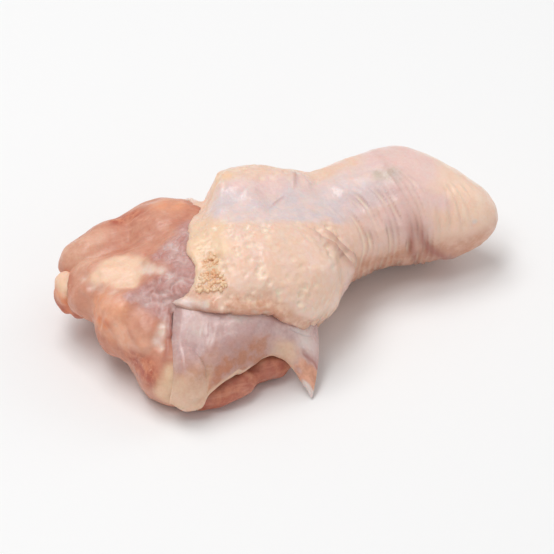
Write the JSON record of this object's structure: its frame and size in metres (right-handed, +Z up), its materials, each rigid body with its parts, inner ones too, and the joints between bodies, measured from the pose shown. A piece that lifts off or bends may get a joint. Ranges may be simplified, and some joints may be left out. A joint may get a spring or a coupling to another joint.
{
  "type": "raw chicken drumette",
  "caption": "Raw chicken wing joint lying on its side, with bare muscle at the cut shoulder end, a loose skin sleeve over neck and elbow, and a hanging web of skin.",
  "frame": {"origin": "on the flat that the drumette rests on, under the middle of the body", "axes": "+X along the bone from the cut shoulder end to the elbow end, +Y from the skin web towards the smooth back, +Z up"},
  "size_m": [0.1024, 0.0563, 0.0305],
  "materials": {
    "skin": "raw chicken skin, moist, pale cream pink with goosebumps and ring wrinkles",
    "meat": "raw chicken muscle, wet, pinkish orange with fine fibres",
    "membrane": "wet connective tissue and the inner side of the skin, purplish grey pink",
    "fat": "soft raw fat and cartilage, glossy cream to yellow orange"
  },
  "bodies": {
    "root": {"drumette": "skin"}
  },
  "joints": []
}
